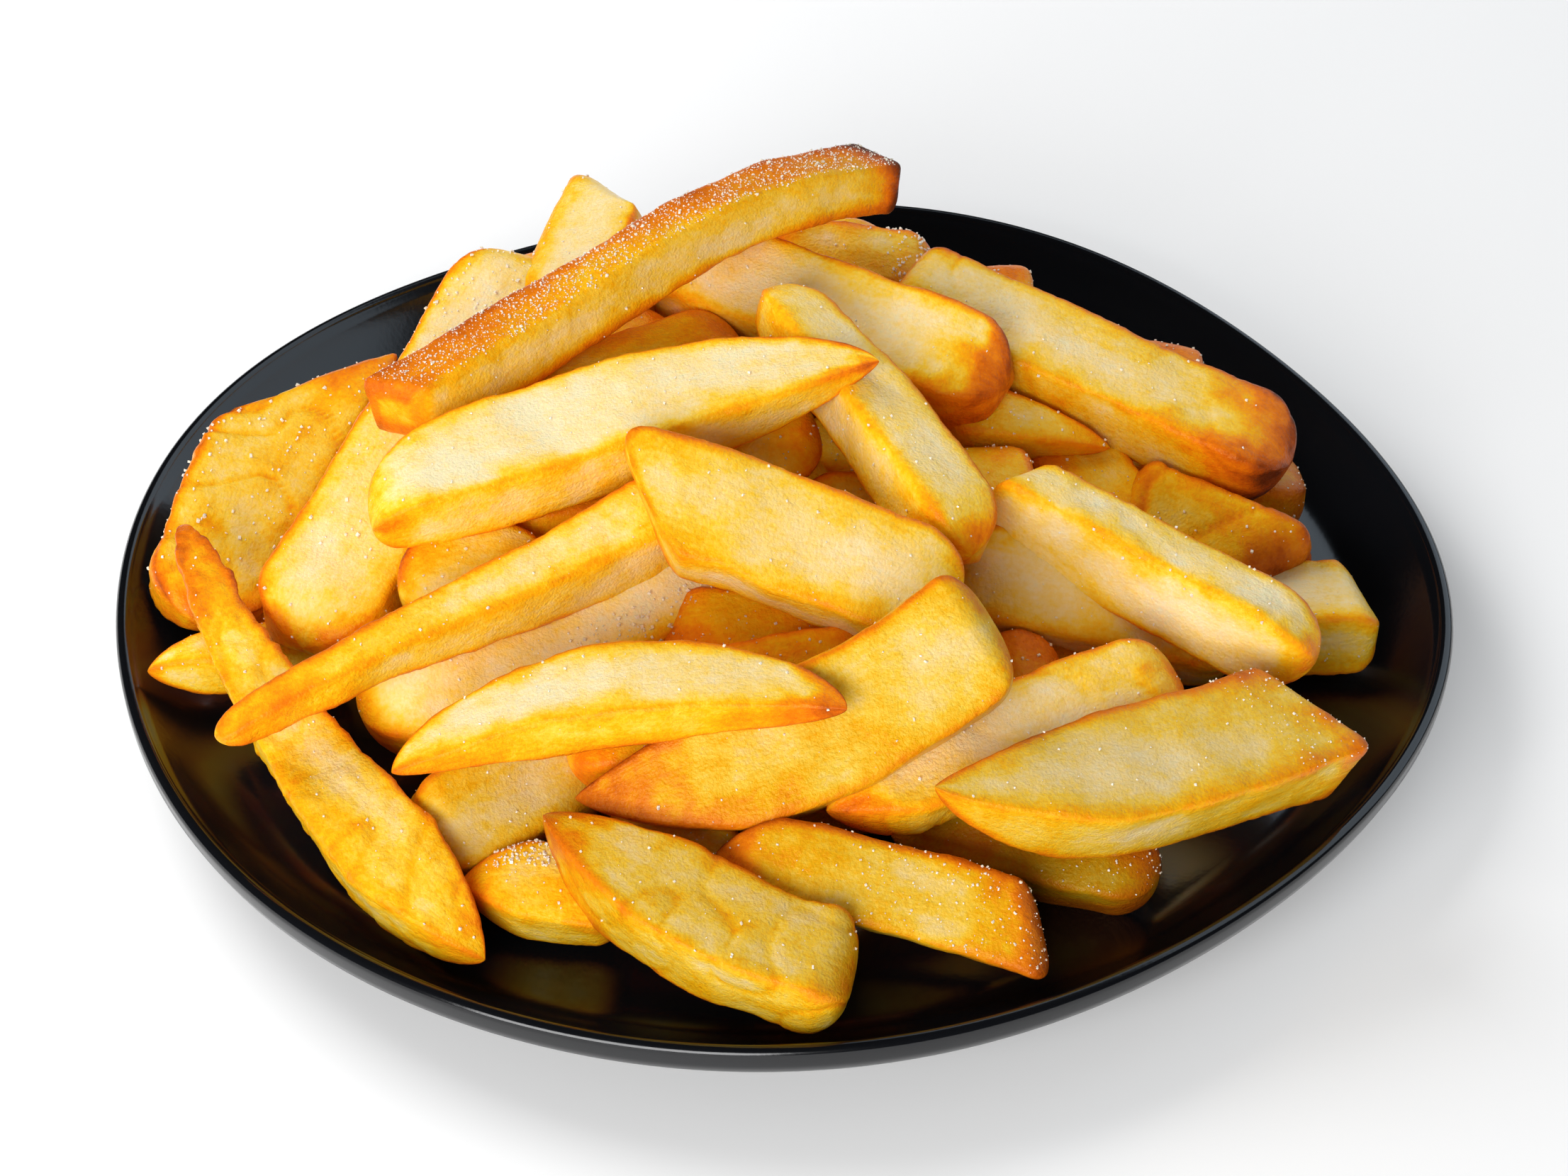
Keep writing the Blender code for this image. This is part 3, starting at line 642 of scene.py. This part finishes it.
def salt_crystal():
    """Clear salt with a warm tint, which paints warm light on grains in shade so that they don't look
    grey-blue.
    """
    material, shader = new_material("salt")[:2]
    shader.inputs["Base Color"].default_value = (*SALT_COLOUR, 1.0)
    shader.inputs["Roughness"].default_value = 0.18
    shader.inputs["Subsurface Weight"].default_value = 0.5
    shader.inputs["Subsurface Radius"].default_value = (1.0, 1.0, 1.0)
    shader.inputs["Subsurface Scale"].default_value = 0.0005
    return material


CORNERS = np.array([(x, y, z) for z in (-0.5, 0.5) for y in (-0.5, 0.5) for x in (-0.5, 0.5)])
SIDES = ((0, 2, 3, 1), (4, 5, 7, 6), (0, 1, 5, 4), (2, 6, 7, 3), (0, 4, 6, 2), (1, 3, 7, 5))
salt_rows = []  # the place, outward direction and size of each grain
dice = np.random.default_rng(11)


def salt_on(name, count, along=(0, 1), level=0.25, size=(0.2, 0.6), strip=(0, 1)):
    """Drops grains on the upward faces of one fry, between two shares of its length. level is the
    least upward slope that holds a grain, and strip the middle and half width of a strip along
    the fry, as shares of the way round it."""
    mesh = fries[name].data
    total = len(mesh.polygons)
    centres = np.empty(total * 3)
    normals = np.empty(total * 3)
    areas = np.empty(total)
    mesh.polygons.foreach_get("center", centres)
    mesh.polygons.foreach_get("normal", normals)
    mesh.polygons.foreach_get("area", areas)
    centres, normals = centres.reshape(-1, 3), normals.reshape(-1, 3)
    share = np.linspace(0, 1, total)
    turn = np.arange(total) / fries[name]["around"]
    turn = np.abs((turn - strip[0] + 0.5) % 1 - 0.5)
    chance = areas * (normals[:, 2] > level) * (share >= along[0]) * (share <= along[1]) * (turn < strip[1])
    picks = dice.choice(total, size=count, p=chance / chance.sum())
    for pick in picks:
        grain = size[0] + (size[1] - size[0]) * dice.random() ** 1.6  # small grains are commoner
        salt_rows.append((centres[pick], normals[pick], grain))


def make_salt():
    """One piece of all the grains, each an uneven cube turned its own way."""
    verts, faces = [], []
    for place, outward, size in salt_rows:
        spin = Vector(dice.normal(size=3)).normalized()
        turn = np.array(spin.to_track_quat("Z", "Y").to_matrix())
        stretch = dice.uniform(0.55, 1.15, 3) * size * MM
        shape = CORNERS * (1 + dice.normal(size=(8, 1)) * SALT_UNEVENNESS)
        base = len(verts)
        jitter = dice.normal(size=3) * SALT_STRAY * MM
        jitter -= outward * (jitter @ outward)
        verts += ((shape * stretch) @ turn.T + place + jitter + outward * size * MM * SALT_STAND).tolist()
        faces += [[base + index for index in side] for side in SIDES]
    mesh = bpy.data.meshes.new("salt")
    mesh.from_pydata(verts, [], faces)
    mesh.materials.append(salt_crystal())
    piece = bpy.data.objects.new("salt", mesh)
    bpy.context.scene.collection.objects.link(piece)
    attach(piece, "root")


salt_on("fry_top_long", 2600, level=0.75, size=(0.08, 0.3))
salt_on("fry_top_long", 160, along=(0.3, 0.95), level=0.8, size=(0.2, 0.5))
salt_on("fry_left_wide", 160, along=(0.5, 1.0))
salt_on("fry_left_wide", 80)
salt_on("fry_left_blistered", 120)
salt_on("fry_front_short", 420, along=(0.25, 0.9), level=0.0, size=(0.2, 0.5), strip=(0.02, 0.07))
salt_on("fry_front_right", 300, along=(0.45, 1.0), level=0.1, size=(0.1, 0.35))
salt_on("fry_front_right", 60, size=(0.15, 0.35))
salt_on("fry_middle_low_left", 150, along=(0.5, 0.9), level=0.0, strip=(0.25, 0.1))
salt_on("fry_middle_low_left", 60, along=(0.5, 1.0))
salt_on("fry_right_low", 120, along=(0.6, 1.0), level=0.0, size=(0.1, 0.35))
salt_on("fry_back_upper", 160, along=(0.6, 1.0), level=0.3)
salt_on("fry_right_front", 120, along=(0.7, 1.0), level=0.2, size=(0.1, 0.35))
salt_on("fry_gap_salted", 60, level=0.2, size=(0.1, 0.35))
for name in list(fries):
    if not name.startswith("fry_inside"):
        salt_on(name, 60, level=0.0, size=(0.12, 0.45))
make_salt()

# ---------------------------------------------------------------- floor
# A matt, nearly white board under the plate, broad enough to fill the view. It is only a stage for
# the dish, and glows a little so that it stays pale far from the lights.
FLOOR_SIZE = 6.0
FLOOR_WHITE = 0.9
FLOOR_GLOW = 0.12


def make_floor():
    half = FLOOR_SIZE / 2 / MM
    material, shader = new_material("studio_floor")[:2]
    shader.inputs["Base Color"].default_value = (FLOOR_WHITE, FLOOR_WHITE, FLOOR_WHITE, 1.0)
    shader.inputs["Roughness"].default_value = 0.9
    shader.inputs["Emission Color"].default_value = (1.0, 1.0, 1.0, 1.0)
    shader.inputs["Emission Strength"].default_value = FLOOR_GLOW
    verts = [(-half, -half, 0), (half, -half, 0), (half, half, 0), (-half, half, 0)]
    floor = new_piece("studio_floor", verts, [(0, 1, 2, 3)], material)


make_floor()

# ---------------------------------------------------------------- lights
# A broad soft window low in front on the left, a small one behind on the left, and two cool cards
# behind on the right. The larger card shows only as sheen in the glaze and on the crust, and a pale
# room fills the shadows.
ROOM_LIGHT = 0.24


def area_light(name, place, aim, size, power, colour=(1, 1, 1)):
    """A rectangular light at a place, turned towards its aim."""
    lamp = bpy.data.lights.new(name, "AREA")
    lamp.shape = "RECTANGLE"
    lamp.size, lamp.size_y = size
    lamp.energy = power
    lamp.color = colour
    holder = bpy.data.objects.new(name, lamp)
    holder.location = place
    holder.rotation_euler = (Vector(aim) - Vector(place)).to_track_quat("-Z", "Y").to_euler()
    bpy.context.scene.collection.objects.link(holder)


area_light("back_left", (-0.5, 0.36, 0.58), (0, 0, 0.02), (0.5, 0.5), 4.6)
area_light("front", (-0.38, -1.0, 0.44), (0, 0, 0.03), (0.9, 0.6), 14.2)
area_light("right_card", (0.8, 1.05, 0.55), (0, 0, 0.02), (1.1, 0.7), 4.0, (0.80, 0.90, 1.0))
area_light("sheen_card", (0.9, 0.75, 0.9), (0, 0, 0.02), (2.0, 1.5), 12.0, (0.74, 0.87, 1.0))
bpy.data.objects["back_left"].visible_glossy = False
bpy.data.objects["right_card"].visible_glossy = False
bpy.data.objects["sheen_card"].visible_diffuse = False

world = bpy.data.worlds.new("studio")
bpy.context.scene.world = world
world.use_nodes = True
world.node_tree.nodes["Background"].inputs["Color"].default_value = (1.0, 1.0, 1.0, 1.0)
world.node_tree.nodes["Background"].inputs["Strength"].default_value = ROOM_LIGHT
world.cycles_visibility.glossy = False

# ---------------------------------------------------------------- camera
# A long lens in front of the plate, looking down at it as a seated guest does, from far enough off
# that the near side of the rim hardly looks wider than the far one.
CAMERA_LENS = 85.0
SENSOR_WIDTH = 36.0
CAMERA_ELEVATION = 40.0
CAMERA_DISTANCE = 0.6636
CAMERA_AIM = (0.0001, -0.0053, 0.018)

eye = bpy.data.cameras.new("camera")
eye.lens = CAMERA_LENS
eye.sensor_width = SENSOR_WIDTH
camera = bpy.data.objects.new("camera", eye)
tilt = math.radians(CAMERA_ELEVATION)
back = Vector((0, -math.cos(tilt), math.sin(tilt)))
camera.location = Vector(CAMERA_AIM) + back * CAMERA_DISTANCE
camera.rotation_euler = (math.pi / 2 - tilt, 0, 0)
bpy.context.scene.collection.objects.link(camera)
bpy.context.scene.camera = camera
bpy.context.scene.view_settings.view_transform = "Standard"
